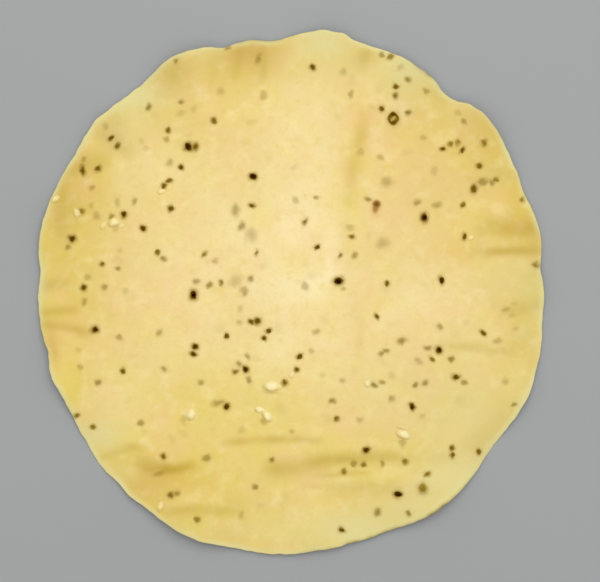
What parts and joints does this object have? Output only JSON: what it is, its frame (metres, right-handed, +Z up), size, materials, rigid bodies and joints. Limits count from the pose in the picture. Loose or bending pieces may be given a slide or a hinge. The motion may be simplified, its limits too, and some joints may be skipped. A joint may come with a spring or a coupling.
{
  "type": "papadum",
  "caption": "Raw dried papadum: a thin wavy disc of pale golden lentil dough with a lobed rim, soft pleats, cracked pepper, pale seeds and chilli flakes.",
  "frame": {"origin": "on the table under the middle of the disc's outline", "axes": "+Z up out of the seeded face, +Y towards the top edge of the disc as seen from above, +X to its right"},
  "size_m": [0.1744, 0.1806, 0.0043],
  "materials": {
    "dough": "satin, slightly translucent dried dough",
    "pepper": "matt cracked black pepper",
    "brown_spice": "matt brown pepper under a film of dough",
    "pale_seed": "satin pale seed",
    "chilli": "satin dried chilli skin"
  },
  "bodies": {
    "root": {"papadum": "dough"}
  },
  "joints": []
}
